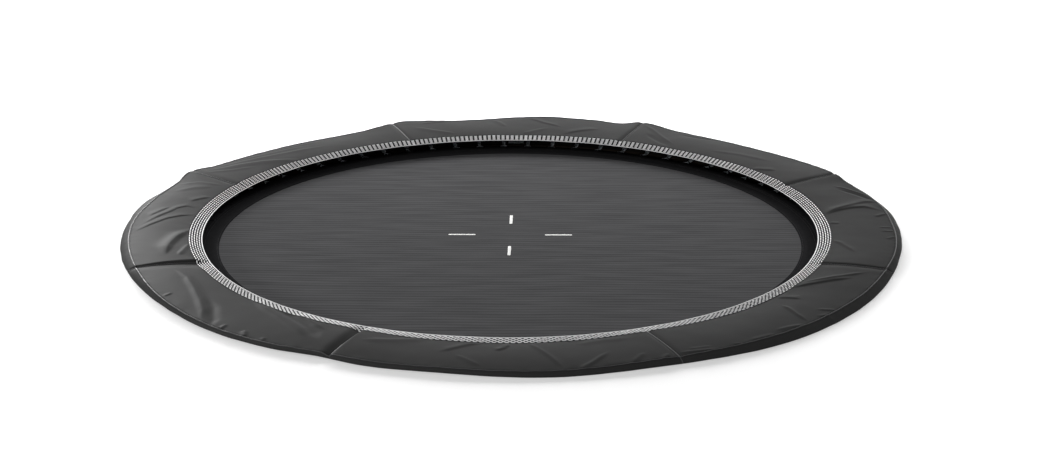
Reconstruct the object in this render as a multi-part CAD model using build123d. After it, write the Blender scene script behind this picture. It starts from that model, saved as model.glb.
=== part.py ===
from build123d import *
import math
import os

# In-ground trampoline. Millimetres, +Z up. The origin is the ring's centre, on the ledge the feet stand on.
# Eight bent tubes make the ring, springs hold the jumping mat inside it, and eight padded panels cover both.

# Sectors: the panels are centred on multiples of 45 degrees, the tube joints too, the tubes in between.
DIRECTIONS = ["right", "back_right", "back", "back_left", "left", "front_left", "front", "front_right"]
sector_count = len(DIRECTIONS)
sector_angle = 360.0 / sector_count
springs_per_tube = 9

# Ring of tubes
ring_radius = 1805.0
tube_radius = 21.0
tube_wall = 2.0
swage_length = 60.0
swage_wall = 2.0
swage_clearance = 0.3
shoulder_length = 5.0
tube_end_gap = 0.4

# Feet
stand_height = 37.7  # from the ledge to the underside of the tubes
base_length = 110.0
base_width = 90.0
base_thickness = 5.0
anchor_hole_radius = 6.5
anchor_offset = 42.0
cradle_wall = 4.0
cradle_width = 50.0
cradle_clearance = 0.4
cheek_rise = 14.0
cheek_web = 5.0
web_spacing = 32.0

# Joint bolts
bolt_radius = 4.0
bolt_hole_clearance = 0.25
bolt_head_across = 13.0
bolt_head_height = 5.3
bolt_stick_out = 2.5
nut_height = 6.5
nut_thread_clearance = 0.05

# Jumping mat: its radius follows from the ring and the springs
mat_drop = 50.0  # from the underside of the pad to the mat's mid height
mesh_thickness = 2.0
hem_band_width = 143.0
mark_inner = 173.0
mark_outer = 307.0
mark_width = 15.0
mark_thickness = 0.6

# Wire rings on the mat's edge and the webbing loops that hold them
ring_wire_radius = 2.0
ring_half_width = 24.0
ring_depth = 24.0
ring_corner_radius = 4.0
ring_tip_radius = 6.0
ring_clearance = 0.3
ring_edge_gap = 0.7
loop_webbing = 1.4
loop_width = 26.0
loop_tail = 55.0

# Springs
spring_wire_radius = 1.6
spring_radius = 10.5
spring_barrel_length = 128.0
spring_mat_lead = 26.0  # from the wire ring to the coils
spring_frame_lead = 39.6  # from the coils to the tube
spring_hook_clearance = 0.35
spring_hole_clearance = 0.9
hook_reach = 5.0  # how far the hook goes in past the tube's wall
hook_tip_bend = 4.0
hook_tip_length = 5.0

# Pad: rises are from its underside
pad_gap = 0.3
vinyl_thickness = 1.2
hem_overhang = 85.0  # from the tubes' centre line out to the hem
skirt_splay = 12.0  # from the top seam out to the hem
top_seam_rise = 22.0
foam_undercut = 16.0  # from the top seam in to the foam's foot
crown_inset = 108.0  # from the top seam in to the crown
crown_rise = 26.5
inner_seam_overlap = 2.0  # from the mat's edge in to the inner seam
inner_seam_rise = 18.0
seam_strip_width = 4.0  # at the top seam; the strip narrows towards the mat
seam_strip_rise = 1.8
skirt_thickness = 1.5
hem_cord_radius = 1.6
hem_cord_rise = 0.8  # from the top seam up to the cord's centre

# Sloping trim band inside the pad, with its light cords
rim_overlap = 70.0  # from the mat's edge in to the rim
rim_rise = 6.0
trim_thickness = 4.0
stripe_count = 6
stripe_pitch = 11.8
stripe_width = 5.5
stripe_height = 0.8
first_stripe = 3.0

# Elastic straps that hold the pad on the tubes
strap_thickness = 1.2
strap_width = 25.0
strap_clearance = 0.3
straps_per_panel = 2

# Worked out from the above
ring_z = stand_height + tube_radius
pad_base = ring_z + tube_radius + pad_gap
tube_bore = tube_radius - tube_wall
swage_radius = tube_bore - swage_clearance
half_overlap = math.degrees(swage_length / 2 / ring_radius)
cradle_inner = tube_radius + cradle_clearance
cradle_outer = cradle_inner + cradle_wall
stack_half = ring_wire_radius + ring_clearance
hem_band_thickness = 2 * stack_half - mesh_thickness
mat_mid = pad_base - mat_drop
mesh_bottom = mat_mid - stack_half
mesh_top = mesh_bottom + mesh_thickness

spring_pitch = sector_angle / springs_per_tube
barrel_end = spring_mat_lead + spring_barrel_length
spring_run = barrel_end + spring_frame_lead
spring_slope = math.asin((ring_z - mat_mid) / spring_run)
spring_frame_point = ring_radius - tube_bore + hook_reach
ring_tip = spring_frame_point - spring_run * math.cos(spring_slope)
ring_tip_inset = ring_tip_radius / math.sin(math.atan(ring_half_width / ring_depth)) - ring_tip_radius
ring_base_radius = ring_tip + ring_tip_inset - ring_depth
mat_radius = ring_base_radius - ring_edge_gap - stack_half
hem_band_inner_radius = mat_radius - hem_band_width

hem_radius = ring_radius + hem_overhang
top_seam_radius = hem_radius - skirt_splay
foam_foot_radius = top_seam_radius - foam_undercut
crown_radius = top_seam_radius - crown_inset
inner_seam_radius = mat_radius - inner_seam_overlap
rim_radius = mat_radius - rim_overlap
strip_half_angle = math.degrees(seam_strip_width / 2 / top_seam_radius)
vinyl_angle = math.degrees(vinyl_thickness / inner_seam_radius)

top_seam = (top_seam_radius, pad_base + top_seam_rise)
crown = (crown_radius, pad_base + crown_rise)
inner_seam = (inner_seam_radius, pad_base + inner_seam_rise)
rim = (rim_radius, pad_base + rim_rise)


def section(*edges):
    """A closed face in the radius-height plane from edges that run end to end."""
    return make_face(Plane.XZ * Curve(list(edges)))


def outline(*points):
    """A closed polygon in the radius-height plane."""
    return make_face(Plane.XZ * Polyline(*points, close=True))


def sector(face, start, end):
    """The solid that a radius-height face sweeps about the centre, from start to end degrees."""
    return Rot(0, 0, start) * revolve(face, Axis.Z, end - start)


def disc_at_ring(radius):
    """A disc round the tube's centre line, in the radius-height plane."""
    return Plane.XZ * Pos(ring_radius, ring_z) * Circle(radius)


def tube_arc(outer, inner, start, end):
    return sector(disc_at_ring(outer) - disc_at_ring(inner), start, end)


def place_spring(solid):
    """From the spring's own line, which starts at the wire ring, to the first spring's place."""
    return Pos(ring_tip, 0, mat_mid) * Rot(0, -math.degrees(spring_slope), 0) * solid


def bolt_bore():
    """The hole for the joint bolt on the +X axis."""
    bore = Cylinder(bolt_radius + bolt_hole_clearance, 2 * base_length)
    return Pos(ring_radius, 0, ring_z) * Rot(0, 90, 0) * bore


def spring_angles():
    """Angles of one tube's springs, from the tube's middle."""
    first = -(springs_per_tube - 1) / 2
    return [(first + i) * spring_pitch for i in range(springs_per_tube)]


def make_tube():
    """One bent tube, centred on the +X axis, with its swaged end and spring holes."""
    half = sector_angle / 2
    shoulder = math.degrees(shoulder_length / ring_radius)
    gap = math.degrees(tube_end_gap / ring_radius)
    body_end = half - half_overlap
    body = tube_arc(tube_radius, tube_bore, -half - half_overlap + gap, body_end)
    body += tube_arc(tube_radius, swage_radius - swage_wall, body_end - shoulder, body_end)
    body += tube_arc(swage_radius, swage_radius - swage_wall, body_end - shoulder / 2, half + half_overlap)
    hole = Cylinder(spring_wire_radius + spring_hole_clearance, spring_run)
    hole = place_spring(Pos(spring_run / 2, 0, 0) * Rot(0, 90, 0) * hole)
    cutters = [Rot(0, 0, angle) * hole for angle in spring_angles()]
    cutters += [Rot(0, 0, angle) * bolt_bore() for angle in (-half, half)]
    return body - cutters


def u_section(inner, outer, top):
    """A U round the underside of the tube, with its legs reaching up to top."""
    def loop(radius, height):
        left, right = ring_radius - radius, ring_radius + radius
        return section(
            Polyline((left, ring_z), (left, height), (right, height), (right, ring_z)),
            ThreePointArc((right, ring_z), (ring_radius, ring_z - radius), (left, ring_z)),
        )

    return loop(outer, top) - loop(inner, top + outer)


def make_foot():
    """A ground foot on the +X axis: a base plate, two webs and a cradle that the tube joint is bolted in."""
    plate = Pos(ring_radius, 0, base_thickness / 2) * Box(base_length, base_width, base_thickness)
    anchor_hole = Cylinder(anchor_hole_radius, base_length)
    for side in (-1, 1):
        plate -= Pos(ring_radius + side * anchor_offset, 0, 0) * anchor_hole
    cradle = extrude(u_section(cradle_inner, cradle_outer, ring_z + cheek_rise), cradle_width / 2, both=True)
    bore = extrude(disc_at_ring(cradle_inner), base_width, both=True)
    web_size = (2 * cradle_outer, cheek_web, ring_z - base_thickness)
    foot = plate + cradle
    for side in (-1, 1):
        web = Pos(ring_radius, side * web_spacing / 2, base_thickness + web_size[2] / 2) * Box(*web_size)
        foot += web - bore
    return foot - bolt_bore()


def make_bolt():
    """A hexagon bolt through the cradle and both tubes, its head on the outside of the ring."""
    length = 2 * cradle_outer + nut_height + bolt_stick_out
    shank = Pos(0, 0, -length / 2) * Cylinder(bolt_radius, length)
    head = extrude(RegularPolygon(bolt_head_across / 2, 6, major_radius=False), bolt_head_height)
    return Pos(ring_radius + cradle_outer, 0, ring_z) * Rot(0, 90, 0) * (shank + head)


def make_nut():
    hexagon = extrude(RegularPolygon(bolt_head_across / 2, 6, major_radius=False), nut_height)
    bore = Cylinder(bolt_radius + nut_thread_clearance, 2 * cradle_outer)
    return Pos(ring_radius - cradle_outer - nut_height, 0, ring_z) * Rot(0, 90, 0) * (hexagon - bore)


def make_spring():
    """A closely wound spring on the +X axis: its coils as one barrel, with a hook at each end."""
    hook_radius = ring_wire_radius + spring_hook_clearance + spring_wire_radius
    wire = 2 * spring_wire_radius
    barrel = Cylinder(spring_radius, spring_barrel_length)
    barrel -= Cylinder(spring_radius - wire, spring_barrel_length - 2 * wire)
    barrel = Pos(spring_mat_lead + spring_barrel_length / 2, 0, 0) * Rot(0, 90, 0) * barrel
    mat_hook = Plane.XZ * Curve([
        ThreePointArc((0, -hook_radius), (-hook_radius, 0), (0, hook_radius)),
        Line((0, hook_radius), (spring_mat_lead + spring_wire_radius, hook_radius)),
    ])
    frame_hook = Plane.XZ * Curve([
        Line((barrel_end - spring_wire_radius, 0), (spring_run, 0)),
        TangentArc((spring_run, 0), (spring_run + hook_tip_bend, -hook_tip_bend), tangent=(1, 0)),
        Line(
            (spring_run + hook_tip_bend, -hook_tip_bend),
            (spring_run + hook_tip_bend, -hook_tip_bend - hook_tip_length),
        ),
    ])
    spring = barrel
    for path in (mat_hook, frame_hook):
        start = Plane(path @ 0, z_dir=path % 0)
        spring += sweep(start * Circle(spring_wire_radius), path)
    return place_spring(spring)


def make_wire_ring():
    """A three-cornered wire ring on the +X axis, its long side in the webbing loop."""
    base, tip = ring_base_radius, ring_base_radius + ring_depth
    corners = [(base, -ring_half_width), (tip, 0), (base, ring_half_width)]
    radii = [ring_corner_radius, ring_tip_radius, ring_corner_radius]
    path = Pos(0, 0, mat_mid) * FilletPolyline(*corners, radius=radii, close=True)
    start = Plane(path @ 0, z_dir=path % 0)
    return sweep(start * Circle(ring_wire_radius), path)


def make_loop():
    """A webbing loop on the +X axis, folded round the wire ring and sewn to both faces of the mat."""
    tail_start = mat_radius - loop_tail

    def fold(radius):
        low, high, bend = mat_mid - radius, mat_mid + radius, ring_base_radius
        return section(
            Polyline((bend, low), (tail_start, low), (tail_start, high), (bend, high)),
            ThreePointArc((bend, high), (bend + radius, mat_mid), (bend, low)),
        )

    webbing = fold(stack_half + loop_webbing) - fold(stack_half)
    return extrude(webbing, loop_width / 2, both=True)


def make_mesh():
    return Pos(0, 0, mesh_bottom + mesh_thickness / 2) * Cylinder(mat_radius, mesh_thickness)


def make_hem_band():
    """The doubled, sewn border on top of the mat's edge."""
    band = Circle(mat_radius) - Circle(hem_band_inner_radius)
    return Pos(0, 0, mesh_top) * extrude(band, hem_band_thickness)


def make_marks():
    """Four dashes that point at the middle of the mat."""
    dash = Box(mark_outer - mark_inner, mark_width, mark_thickness)
    dash = Pos((mark_inner + mark_outer) / 2, 0, mesh_top + mark_thickness / 2) * dash
    return around([dash], 4)


def pad_section(lift=0.0):
    """The padded part of a panel: flat underneath, crowned on top, undercut outside. Lift raises the top."""
    outer, middle, inner = [(radius, height + lift) for radius, height in (top_seam, crown, inner_seam)]
    return section(
        ThreePointArc(outer, middle, inner),
        Polyline(inner, (inner_seam_radius, pad_base), (foam_foot_radius, pad_base), outer),
    )


def panel_sector(face, short_by=0.0):
    """The sweep of a face over the panel on the +X axis, up to its seam strips or short_by degrees less."""
    half = sector_angle / 2 - strip_half_angle - short_by
    return sector(face, -half, half)


def make_foam():
    return panel_sector(offset(pad_section(), -vinyl_thickness), vinyl_angle)


def make_cover(foam):
    """The vinyl cover round the foam, with the skirt that drops from the top seam to the ground."""
    skirt = outline(
        top_seam,
        (hem_radius, pad_base),
        (hem_radius - skirt_thickness, pad_base),
        (top_seam_radius - skirt_thickness, pad_base + top_seam_rise - vinyl_thickness),
    )
    return panel_sector(pad_section()) + panel_sector(skirt) - foam


def trim_point(distance, height=0.0):
    """A point on the trim band: distance up the slope from the rim, height off its surface."""
    slope = math.atan2(inner_seam[1] - rim[1], inner_seam[0] - rim[0])
    radius = rim[0] + distance * math.cos(slope) - height * math.sin(slope)
    return radius, rim[1] + distance * math.sin(slope) + height * math.cos(slope)


def make_trim():
    lower_rim = (rim[0], rim[1] - trim_thickness)
    lower_seam = (inner_seam[0], inner_seam[1] - trim_thickness)
    return panel_sector(outline(rim, inner_seam, lower_seam, lower_rim))


def make_stripes():
    stripes = []
    for i in range(stripe_count):
        near = first_stripe + i * stripe_pitch
        far = near + stripe_width
        face = outline(
            trim_point(near), trim_point(far), trim_point(far, stripe_height), trim_point(near, stripe_height)
        )
        stripes.append(panel_sector(face))
    return stripes


def make_seam_strip():
    """The strip sewn between two panels, on the +X axis, which stands a little above them."""
    return sector(pad_section(seam_strip_rise), -strip_half_angle, strip_half_angle)


def make_hem_cord():
    """The cord sewn into the top seam of one panel."""
    centre = Pos(top_seam[0] + hem_cord_radius, top_seam[1] + hem_cord_rise)
    return panel_sector(Plane.XZ * centre * Circle(hem_cord_radius))


def make_strap():
    face = u_section(tube_radius + strap_clearance, tube_radius + strap_clearance + strap_thickness, pad_base)
    return extrude(face, strap_width / 2, both=True)


def turned(solids, angle):
    """Copies of one solid or a list of solids, turned about the centre."""
    return [Rot(0, 0, angle) * solid for solid in solids]


def around(solids, count, first=0.0):
    """Copies at count even angles about the centre."""
    return [copy for i in range(count) for copy in turned(solids, first + i * 360.0 / count)]


def write(name, solids):
    export_step(Compound(label=name, children=solids) if len(solids) > 1 else solids[0], f"parts/{name}.step")


os.makedirs("parts", exist_ok=True)

tube = make_tube()
foot = make_foot()
foam = make_foam()
cover = make_cover(foam)
trim = make_trim()
tube_springs = [copy for angle in spring_angles() for copy in turned([make_spring()], angle)]

for index, direction in enumerate(DIRECTIONS):
    at = index * sector_angle
    write(f"frame_tube_{index + 1}", turned([tube], at + sector_angle / 2))
    write(f"springs_{index + 1}", turned(tube_springs, at + sector_angle / 2))
    write(f"foot_{direction}", turned([foot], at))
    write(f"pad_foam_{direction}", turned([foam], at))
    write(f"pad_cover_{direction}", turned([cover], at))
    write(f"pad_trim_{direction}", turned([trim], at))

spring_count = sector_count * springs_per_tube
strap_offset = sector_angle / straps_per_panel / 2
straps = [copy for i in range(straps_per_panel)
          for copy in turned([make_strap()], (2 * i + 1 - straps_per_panel) * strap_offset)]

write("joint_bolts", around([make_bolt()], sector_count))
write("joint_nuts", around([make_nut()], sector_count))
write("mat_mesh", [make_mesh()])
write("mat_hem_band", [make_hem_band()])
write("mat_centre_marks", make_marks())
write("mat_wire_rings", around([make_wire_ring()], spring_count, spring_pitch / 2))
write("mat_webbing_loops", around([make_loop()], spring_count, spring_pitch / 2))
write("trim_stripes", around(make_stripes(), sector_count))
write("seam_piping", around([make_seam_strip()], sector_count, sector_angle / 2))
write("hem_piping", around([make_hem_cord()], sector_count))
write("pad_straps", around(straps, sector_count))
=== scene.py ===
import math

import bmesh
import bpy
import numpy as np
from mathutils import Matrix, Vector, noise


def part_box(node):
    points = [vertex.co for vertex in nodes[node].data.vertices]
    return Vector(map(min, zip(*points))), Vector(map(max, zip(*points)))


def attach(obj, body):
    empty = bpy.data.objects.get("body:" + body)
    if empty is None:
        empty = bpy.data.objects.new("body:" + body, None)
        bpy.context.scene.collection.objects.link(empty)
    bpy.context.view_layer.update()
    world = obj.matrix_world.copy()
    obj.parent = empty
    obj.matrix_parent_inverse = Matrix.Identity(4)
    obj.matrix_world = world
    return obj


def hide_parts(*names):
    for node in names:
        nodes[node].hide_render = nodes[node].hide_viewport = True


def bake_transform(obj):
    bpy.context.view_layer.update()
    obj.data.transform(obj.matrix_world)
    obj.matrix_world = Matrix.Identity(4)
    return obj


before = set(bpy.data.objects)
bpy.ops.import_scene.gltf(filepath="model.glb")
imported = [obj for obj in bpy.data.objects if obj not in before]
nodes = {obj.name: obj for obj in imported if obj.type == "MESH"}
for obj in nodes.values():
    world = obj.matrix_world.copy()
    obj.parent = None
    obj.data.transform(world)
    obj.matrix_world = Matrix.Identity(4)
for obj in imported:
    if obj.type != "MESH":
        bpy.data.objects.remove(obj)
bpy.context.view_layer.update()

DIRECTIONS = ["right", "back_right", "back", "back_left", "left", "front_left", "front", "front_right"]


# ----------------
# Ring tubes. Eight bent lengths of steel tube, each with one end swaged to slide into the next one.
# They are drilled for the springs and then hot-dip galvanised, which leaves dull zinc with faint spangle.


def to_linear(code):
    """The linear colour of an sRGB hex code such as "b4b8bb"."""
    channels = [int(code[i:i + 2], 16) / 255 for i in (0, 2, 4)]
    linear = [c / 12.92 if c <= 0.04045 else ((c + 0.055) / 1.055) ** 2.4 for c in channels]
    return (*linear, 1.0)


def add(tree, kind, settings=None, inputs=None):
    """A node. Settings are its properties; inputs are values or other nodes' outputs, by socket."""
    node = tree.nodes.new(kind)
    for name, value in (settings or {}).items():
        setattr(node, name, value)
    for socket, value in (inputs or {}).items():
        if isinstance(value, bpy.types.NodeSocket):
            tree.links.new(value, node.inputs[socket])
        else:
            node.inputs[socket].default_value = value
    return node


def finish(name, **values):
    """A new material, its node tree and its Principled shader, with the shader's own sockets set."""
    material = bpy.data.materials.new(name)
    material.use_nodes = True
    tree = material.node_tree
    shader = tree.nodes["Principled BSDF"]
    for socket, value in values.items():
        shader.inputs[socket.replace("_", " ")].default_value = value
    return material, tree, shader


def feed(shader, **outputs):
    """Other nodes' outputs, linked to a shader's own sockets."""
    for socket, output in outputs.items():
        shader.id_data.links.new(output, shader.inputs[socket.replace("_", " ")])


def object_place(tree):
    """Where each point is on its object, in metres."""
    return add(tree, "ShaderNodeTexCoord").outputs["Object"]


def clouds(tree, scale, detail, vector=None):
    """A soft noise from 0 to 1, over the object's own place or over another vector."""
    vector = object_place(tree) if vector is None else vector
    inputs = {"Vector": vector, "Scale": scale, "Detail": detail}
    return add(tree, "ShaderNodeTexNoise", inputs=inputs).outputs["Fac"]


def tones(tree, factor, low, high):
    """A colour between two hex codes."""
    inputs = {"Factor": factor, 6: to_linear(low), 7: to_linear(high)}
    return add(tree, "ShaderNodeMix", {"data_type": "RGBA"}, inputs).outputs[2]


def span(tree, value, low, high):
    """A value from 0 to 1 stretched between two others."""
    inputs = {"Value": value, "To Min": low, "To Max": high}
    return add(tree, "ShaderNodeMapRange", inputs=inputs).outputs["Result"]


def relief(tree, height, strength, distance):
    """The normal of a surface that a height lifts by a distance in metres."""
    inputs = {"Height": height, "Strength": strength, "Distance": distance}
    return add(tree, "ShaderNodeBump", inputs=inputs).outputs["Normal"]


def dress(names, material):
    """CAD nodes take a material."""
    for name in names:
        for slot in nodes[name].material_slots:
            slot.material = material


spangle_size = 0.007
# Zinc crystals a few millimetres wide: a dull pale grey that shimmers in patches.
galvanised, tree, shader = finish("hot_dip_galvanised_steel", Metallic=1.0)
spangle = add(tree, "ShaderNodeTexVoronoi", inputs={"Vector": object_place(tree), "Scale": 1 / spangle_size})
grains = add(tree, "ShaderNodeSeparateColor", inputs={"Color": spangle.outputs["Color"]})
feed(shader, Base_Color=tones(tree, grains.outputs[0], "9a9fa3", "bcc0c3"),
     Roughness=span(tree, grains.outputs[1], 0.38, 0.56),
     Normal=relief(tree, clouds(tree, 400.0, 3.0), 0.25, 0.0002))
dress([f"frame_tube_{i + 1}" for i in range(len(DIRECTIONS))], galvanised)


# ----------------
# Ground feet. Each is a steel base plate, two webs and a cradle under a tube joint, welded up and dipped with
# the tubes.

dress([f"foot_{direction}" for direction in DIRECTIONS], galvanised)


# ----------------
# Joint bolts and nuts, M8. Bright zinc plate over turned steel, smoother than the galvanised tube and a
# little blue, with a faint haze.

plate_haze = 0.004
# A thin even plate on smooth steel: a cool, fairly bright grey with soft highlights.
zinc_plate, tree, shader = finish("bright_zinc_plated_steel", Metallic=1.0)
haze = clouds(tree, 1 / plate_haze, 4.0)
feed(shader, Base_Color=tones(tree, haze, "b9bec4", "d3d6d8"), Roughness=span(tree, haze, 0.3, 0.5))
dress(["joint_bolts", "joint_nuts"], zinc_plate)


# ----------------
# Springs. Closely wound galvanised wire, nine to a tube. One hook is round a wire ring on the mat and the
# other is in a hole in the tube. Each is a piece of its own.


def radii(name):
    """Distance of each of a CAD node's vertices from the centre line of the trampoline."""
    return np.array([math.hypot(v.co.x, v.co.y) for v in nodes[name].data.vertices])


def put(name, data):
    """A new object in the scene."""
    piece = bpy.data.objects.new(name, data)
    bpy.context.scene.collection.objects.link(piece)
    return piece


def noisy(tree, scale, low, high, detail=2.0):
    """A colour that drifts between two hex codes over cells of a given size in metres."""
    return tones(tree, clouds(tree, 1 / scale, detail), low, high)


def path_tree(name, **kinds):
    """A new Geometry Nodes tree, its inputs, and the curve along the edges of the mesh it is given."""
    group = bpy.data.node_groups.new(name, "GeometryNodeTree")
    for label, kind in {"Geometry": "Geometry", "Material": "Material", **kinds}.items():
        group.interface.new_socket(label, in_out="INPUT", socket_type="NodeSocket" + kind)
    given = group.nodes.new("NodeGroupInput").outputs
    curve = add(group, "GeometryNodeMeshToCurve", inputs={"Mesh": given["Geometry"]})
    return group, given, curve.outputs["Curve"]


def end_tree(tree, given, geometry):
    """The tree's result: the geometry as one plain mesh of the given material."""
    tree.interface.new_socket("Geometry", in_out="OUTPUT", socket_type="NodeSocketGeometry")
    whole = add(tree, "GeometryNodeRealizeInstances", inputs={"Geometry": geometry})
    painted = add(tree, "GeometryNodeSetMaterial", inputs={
        "Geometry": whole.outputs["Geometry"], "Material": given["Material"]})
    add(tree, "NodeGroupOutput", inputs={"Geometry": painted.outputs["Geometry"]})


def grow(name, group, source, values):
    """The plain mesh object that a Geometry Nodes tree makes from a source mesh."""
    piece = put(name, source)
    modifier = piece.modifiers.new("grow", "NODES")
    modifier.node_group = group
    for item in group.interface.items_tree:
        if item.in_out == "INPUT" and item.name in values:
            modifier[item.identifier] = values[item.name]
    shapes = bpy.context.evaluated_depsgraph_get()
    plain = bpy.data.meshes.new_from_object(piece.evaluated_get(shapes))
    plain.name = name
    piece.modifiers.remove(modifier)
    piece.data = plain
    return piece


def paths_mesh(name, paths, closed=False):
    """A mesh of loose edges that run through each path's points."""
    points, edges = [], []
    for path in paths:
        first = len(points)
        points += [tuple(p) for p in path]
        edges += [(i, i + 1) for i in range(first, len(points) - 1)]
        if closed:
            edges.append((len(points) - 1, first))
    mesh = bpy.data.meshes.new(name)
    mesh.from_pydata(points, edges, [])
    return mesh


# A rod of oval section along each path, lying flat, for springs, rings, cords, welts and piping.
rod_tree, given, path = path_tree("rod_along_path", Width="Float", Height="Float", Sides="Int")
level = add(rod_tree, "GeometryNodeSetCurveNormal", {"mode": "Z_UP"}, {"Curve": path})
circle = add(rod_tree, "GeometryNodeCurvePrimitiveCircle", inputs={
    "Resolution": given["Sides"], "Radius": 0.5})
oval = add(rod_tree, "ShaderNodeCombineXYZ", inputs={"X": given["Width"], "Y": given["Height"], "Z": 1.0})
profile = add(rod_tree, "GeometryNodeTransform", inputs={
    "Geometry": circle.outputs["Curve"], "Scale": oval.outputs["Vector"]})
rod = add(rod_tree, "GeometryNodeCurveToMesh", inputs={
    "Curve": level.outputs["Curve"], "Profile Curve": profile.outputs["Geometry"], "Fill Caps": True})
smooth = add(rod_tree, "GeometryNodeSetShadeSmooth", inputs={"Geometry": rod.outputs["Mesh"]})
end_tree(rod_tree, given, smooth.outputs["Geometry"])


def rods(name, lines, width, height, sides, material, closed=False):
    """A piece of rods of one oval section, in metres, along lines of points."""
    return grow(name, rod_tree, paths_mesh(f"{name}_lines", lines, closed), {
        "Width": width, "Height": height, "Sides": sides, "Material": material})


ring_radius = (radii("frame_tube_1").min() + radii("frame_tube_1").max()) / 2
tube_low, tube_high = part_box("frame_tube_1")
ring_height = (tube_low.z + tube_high.z) / 2
wire_low, wire_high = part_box("mat_wire_rings")
mat_height = (wire_low.z + wire_high.z) / 2
ring_wire = (wire_high.z - wire_low.z) / 2
spring_start = radii("mat_wire_rings").max() - ring_wire
spring_wire = 0.0016
coil_radius = 0.0105 - spring_wire
mat_hook = ring_wire + spring_wire + 0.00035
hook_steps = 8
coils_from = 0.026
coil_count = 40
steps_per_coil = 10
barrel_length = 0.128
tube_bore = 0.019
hook_reach = 0.005
hook_drop = 0.009
hook_bend = 0.004
neck = 0.003
springs_in_node = 9
spring_count = springs_in_node * len(DIRECTIONS)
spring_angles = [(i + 0.5) * 360 / spring_count for i in range(spring_count)]
spring_turns = [Matrix.Rotation(math.radians(angle), 4, "Z") for angle in spring_angles]

spring_end = ring_radius - tube_bore + hook_reach
spring_run = math.hypot(spring_end - spring_start, ring_height - mat_height)
spring_slope = math.atan2(ring_height - mat_height, spring_end - spring_start)
spring_line = []
for i in range(hook_steps + 1):
    turn = math.pi * i / hook_steps
    spring_line.append((-mat_hook * math.sin(turn), 0.0, -mat_hook * math.cos(turn)))
coil_steps = coil_count * steps_per_coil
for i in range(coil_steps + 1):
    turn = 2 * math.pi * i / steps_per_coil
    along = coils_from + barrel_length * i / coil_steps
    spring_line.append((along, coil_radius * math.sin(turn), coil_radius * math.cos(turn)))
spring_line += [(coils_from + barrel_length + neck, 0.0, neck), (spring_run, 0.0, 0.0),
                (spring_run + neck, 0.0, -neck / 3), (spring_run + hook_bend, 0.0, -hook_bend),
                (spring_run + hook_bend, 0.0, -hook_drop)]

# Drawn wire with a zinc coat: a dull silver with faint draw marks along it, painted darker than the
# tubes' zinc, partly as painted shade for the dark under the pads.
spring_steel, tree, shader = finish("galvanised_spring_wire_painted_shade", Metallic=1.0, Roughness=0.5)
feed(shader, Base_Color=noisy(tree, 0.002, "8a8f93", "a9adb0"))

one_spring = rods("spring_pattern", [spring_line], 2 * spring_wire, 2 * spring_wire, 5, spring_steel)
tilt = Matrix.Translation((spring_start, 0, mat_height)) @ Matrix.Rotation(-spring_slope, 4, "Y")
for i, turn in enumerate(spring_turns):
    coils = one_spring.data.copy()
    coils.transform(turn @ tilt)
    spring = put(f"spring_{i + 1}", coils)
    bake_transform(spring)
    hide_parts(f"springs_{i // springs_in_node + 1}")
bpy.data.objects.remove(one_spring)


# ----------------
# Wire rings. Seventy-two three-cornered rings of 4 mm zinc-plated wire. The long side of each is in a webbing
# loop on the mat, and its rounded tip is in a spring's hook.

wire_ring_half_width = 0.024
wire_ring_depth = 0.024
corner_bend = 0.004
tip_bend = 0.006
bend_steps = 8

tip = spring_start + tip_bend / math.sin(math.atan(wire_ring_half_width / wire_ring_depth)) - tip_bend
corners = [Vector((tip - wire_ring_depth, -wire_ring_half_width, mat_height)), Vector((tip, 0, mat_height)),
           Vector((tip - wire_ring_depth, wire_ring_half_width, mat_height))]
wire_ring_line = []
for i, bend in enumerate((corner_bend, tip_bend, corner_bend)):
    before = (corners[i - 1] - corners[i]).normalized()
    after = (corners[(i + 1) % 3] - corners[i]).normalized()
    half = before.angle(after) / 2
    centre = corners[i] + (before + after).normalized() * bend / math.sin(half)
    start = corners[i] + before * bend / math.tan(half) - centre
    end = corners[i] + after * bend / math.tan(half) - centre
    for step in range(bend_steps + 1):
        wire_ring_line.append(centre + start.slerp(end, step / bend_steps).normalized() * bend)

wire_ring_lines = [[turn @ point for point in wire_ring_line] for turn in spring_turns]
wire_rings = rods("wire_rings", wire_ring_lines, 2 * ring_wire, 2 * ring_wire, 10, zinc_plate, closed=True)
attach(wire_rings, "mat")
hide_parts("mat_wire_rings")


# ----------------
# Jumping mat. A round of woven polypropylene mesh, heat-set and pulled tight by the springs, so it lies flat.
# The tapes of the weave have a faint gloss. The dark between them is painted shade: the colour is darker
# where the weave lies low and lighter where it is raised.


def skin(name, rings, around=False, caps=True, material=None, smooth=True):
    """A piece skinned over an array of rings of points. Around joins the last ring to the first."""
    count, size = rings.shape[:2]
    faces = []
    for i in range(count if around else count - 1):
        here, after = i * size, (i + 1) % count * size
        for j in range(size):
            k = (j + 1) % size
            faces.append((here + j, here + k, after + k, after + j))
    if caps and not around:
        faces.append(tuple(range(size - 1, -1, -1)))
        faces.append(tuple(range((count - 1) * size, count * size)))
    mesh = bpy.data.meshes.new(name)
    mesh.from_pydata(rings.reshape(-1, 3).tolist(), [], faces)
    mesh.validate()
    return settle(name, mesh, material, smooth)


def settle(name, mesh, material, smooth=True):
    """A mesh as an object, with doubles merged, faces outwards and a material."""
    shape = bmesh.new()
    shape.from_mesh(mesh)
    bmesh.ops.remove_doubles(shape, verts=shape.verts, dist=1e-6)
    bmesh.ops.recalc_face_normals(shape, faces=shape.faces)
    shape.to_mesh(mesh)
    shape.free()
    mesh.polygons.foreach_set("use_smooth", [smooth] * len(mesh.polygons))
    mesh.materials.append(material)
    return put(name, mesh)


def lathe(name, profile, steps, material):
    """A piece turned round the centre line from a closed loop of (radius, height) points."""
    angles = np.linspace(0, 2 * math.pi, steps, endpoint=False)[:, None]
    radius, height = np.array(profile).T
    rings = np.stack([radius * np.cos(angles), radius * np.sin(angles), height + 0 * angles], axis=-1)
    return skin(name, rings, around=True, material=material)


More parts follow.
